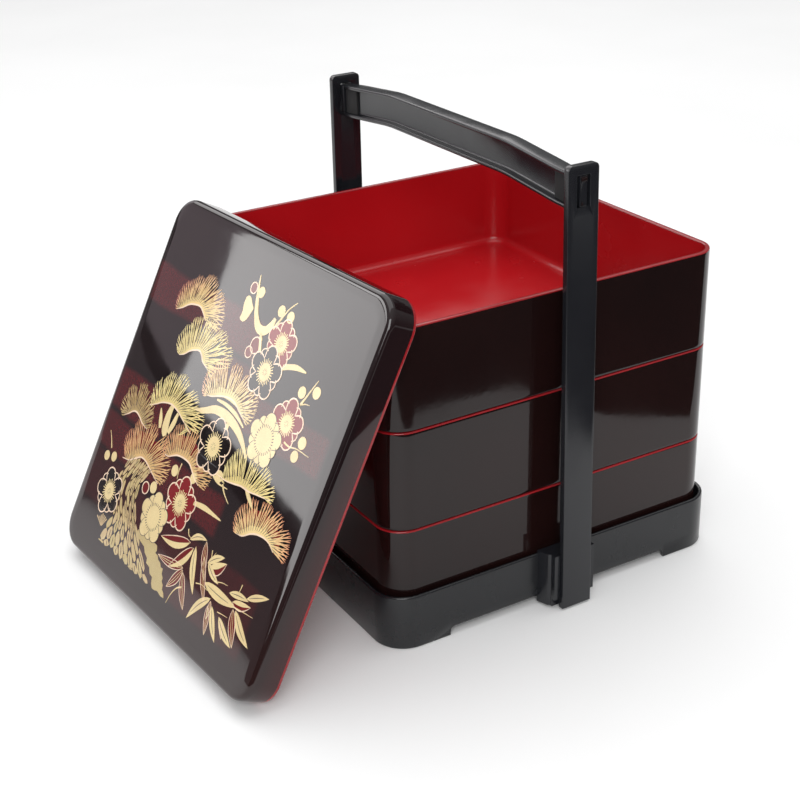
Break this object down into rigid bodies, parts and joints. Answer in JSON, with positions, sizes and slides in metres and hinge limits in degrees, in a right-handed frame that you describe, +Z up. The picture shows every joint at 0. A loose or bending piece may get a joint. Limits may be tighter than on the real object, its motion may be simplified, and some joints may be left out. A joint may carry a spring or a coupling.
{
  "type": "tiered lunch box set with carry handle",
  "caption": "Square lacquered lunch boxes, open and empty, stacked on a footed tray with an upright carry handle; their low domed lid leans against the stack.",
  "frame": {"origin": "on the ground, under the middle of the whole set's bounding box", "axes": "+Z up, -Y towards the handle's front post, -X towards the side where the lid leans"},
  "size_m": [0.3052, 0.2334, 0.235],
  "materials": {
    "box_lacquer": "high gloss lacquer, near black outside and red inside",
    "frame_plastic": "semi-gloss black moulding",
    "lid_lacquer": "high gloss lacquer, black with maroon mist and gold ornament outside, red inside"
  },
  "bodies": {
    "root": {"tier_bottom": "box_lacquer", "tier_middle": "box_lacquer", "tier_top": "box_lacquer", "base_tray": "frame_plastic", "post_front": "frame_plastic", "post_back": "frame_plastic", "handle_bar": "frame_plastic", "lid": "lid_lacquer"}
  },
  "joints": []
}
